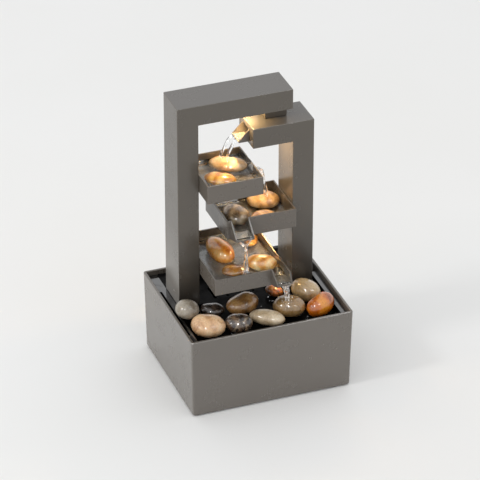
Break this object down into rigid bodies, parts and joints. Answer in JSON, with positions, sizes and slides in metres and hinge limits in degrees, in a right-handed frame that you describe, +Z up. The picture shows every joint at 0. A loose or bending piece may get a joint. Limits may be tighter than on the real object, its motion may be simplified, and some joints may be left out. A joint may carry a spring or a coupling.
{
  "type": "tabletop water fountain",
  "caption": "Tabletop fountain: water falls from a spout beam through stepped trays of pebbles into a square basin, under a warm light.",
  "frame": {"origin": "middle of the footprint, on the surface that the fountain stands on", "axes": "+X right along the front, +Y towards the back, +Z up"},
  "size_m": [0.19, 0.162, 0.3417],
  "materials": {
    "taupe_plastic": "satin",
    "deck_plastic": "satin",
    "black_rubber": "matte",
    "pump_plastic": "satin",
    "white_plastic": "satin",
    "ferrite": "satin",
    "shaft_ceramic": "satin",
    "cable_jacket": "matte",
    "hose_silicone": "gloss",
    "water": "gloss",
    "frosted_lens": "satin",
    "circuit_board": "satin",
    "light_chip": "satin",
    "steel": "satin",
    "pebble_cream": "satin",
    "pebble_tan": "satin",
    "pebble_orange": "satin",
    "pebble_brown": "satin",
    "pebble_charcoal": "satin",
    "pebble_grey": "satin"
  },
  "bodies": {
    "base": {"basin": "taupe_plastic", "foot_front_left": "black_rubber", "foot_front_right": "black_rubber", "foot_back_left": "black_rubber", "foot_back_right": "black_rubber", "cable_grommet": "black_rubber", "pump_housing": "pump_plastic", "impeller_chamber": "pump_plastic", "impeller_shaft": "shaft_ceramic", "front_shaft_bush": "black_rubber", "rear_shaft_bush": "black_rubber", "suction_cup_1": "black_rubber", "suction_cup_2": "black_rubber", "suction_cup_3": "black_rubber", "suction_cup_4": "black_rubber", "pump_lead": "cable_jacket"},
    "tower": {"deck_plate": "deck_plastic", "outer_frame_shell": "taupe_plastic", "outer_frame_back_cover": "taupe_plastic", "inner_frame_shell": "taupe_plastic", "inner_frame_back_cover": "taupe_plastic", "beam_link": "taupe_plastic", "spout_chute": "taupe_plastic", "upper_tray": "taupe_plastic", "middle_tray": "taupe_plastic", "lower_tray": "taupe_plastic", "light_lead": "cable_jacket", "light_connector": "cable_jacket", "riser_hose": "hose_silicone", "light_lens": "frosted_lens", "light_board": "circuit_board", "light_chip": "light_chip", "left_column_screw": "steel", "right_column_screw": "steel", "deck_pebble_1": "pebble_grey", "deck_pebble_2": "pebble_tan", "deck_pebble_3": "pebble_charcoal", "deck_pebble_4": "pebble_charcoal", "deck_pebble_5": "pebble_brown", "deck_pebble_6": "pebble_cream", "deck_pebble_7": "pebble_brown", "deck_pebble_8": "pebble_tan", "deck_pebble_9": "pebble_orange", "deck_pebble_10": "pebble_brown", "upper_pebble_1": "pebble_cream", "upper_pebble_2": "pebble_orange", "middle_pebble_1": "pebble_tan", "middle_pebble_2": "pebble_charcoal", "middle_pebble_3": "pebble_tan", "lower_pebble_1": "pebble_orange", "lower_pebble_2": "pebble_tan", "lower_pebble_3": "pebble_brown", "lower_pebble_4": "pebble_orange"},
    "impeller": {"rotor_magnet": "ferrite", "impeller": "white_plastic"},
    "intake_cover": {"intake_cover": "pump_plastic"},
    "flow_slider": {"flow_slider": "white_plastic"}
  },
  "joints": [
    {"name": "tower_lift", "type": "slide", "parent": "base", "child": "tower", "axis": [0, 0, 1], "range_m": [0, 0.12]},
    {"name": "impeller_spin", "type": "hinge", "parent": "base", "child": "impeller", "pos_m": [0.066, 0.028, 0.025], "axis": [0, 1, 0], "continuous": true},
    {"name": "intake_cover_pull", "type": "slide", "parent": "base", "child": "intake_cover", "axis": [0, -1, 0], "range_m": [0, 0.02]},
    {"name": "flow_slide", "type": "slide", "parent": "intake_cover", "child": "flow_slider", "axis": [1, 0, 0], "range_m": [0, 0.01]}
  ]
}
